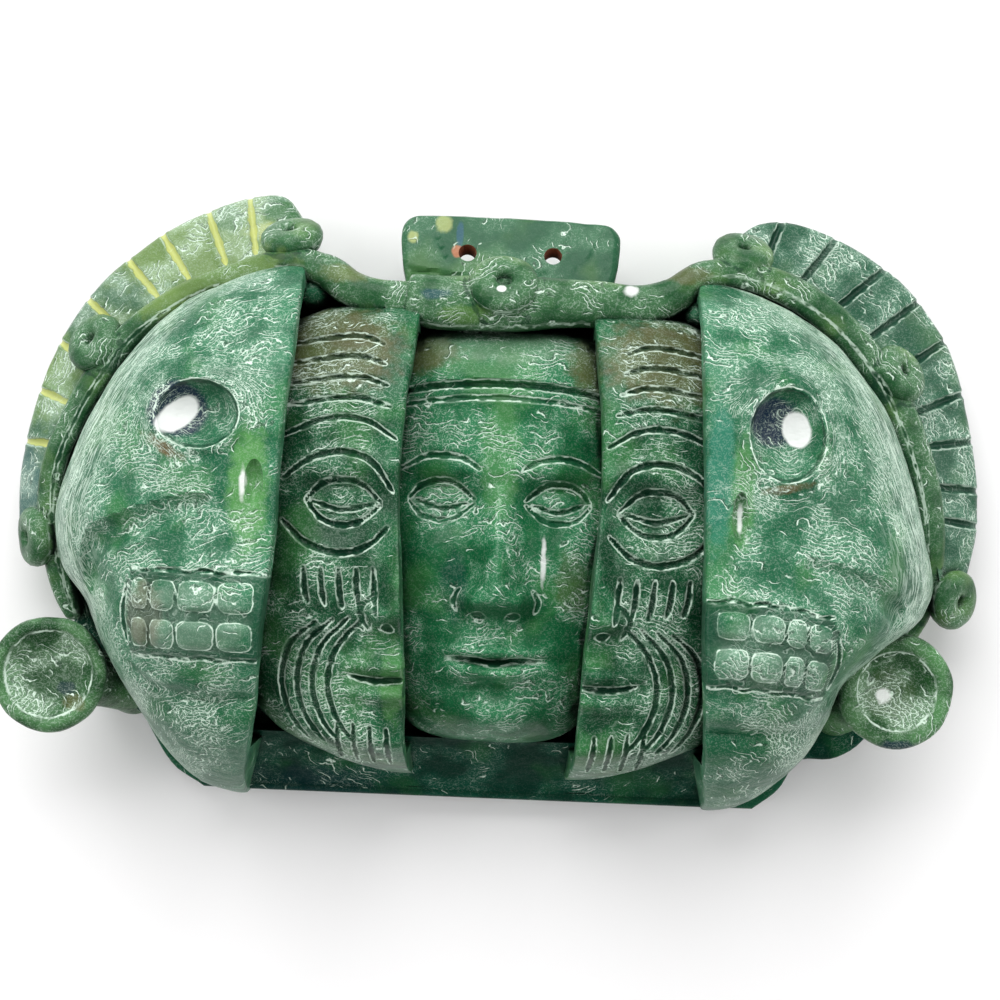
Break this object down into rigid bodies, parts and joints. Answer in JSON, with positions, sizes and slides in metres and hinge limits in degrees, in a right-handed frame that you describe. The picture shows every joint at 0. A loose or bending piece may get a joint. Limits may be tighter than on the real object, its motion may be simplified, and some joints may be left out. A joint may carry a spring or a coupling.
{
  "type": "wall mask",
  "caption": "Painted clay wall mask: a skull cut open around an old face, itself open around a young face, with feather crests and ear spools.",
  "frame": {"origin": "on the table, under the middle of the mask's outline, with the mask lying on its back", "axes": "+X is the mask's left to right as one faces it, +Y points to its crest and +Z out of its face"},
  "size_m": [0.2944, 0.1836, 0.0861],
  "materials": {
    "glazed_clay": "fired clay painted green and varnished, with white crackle and dust in the carving"
  },
  "bodies": {
    "root": {"mask": "glazed_clay"}
  },
  "joints": []
}
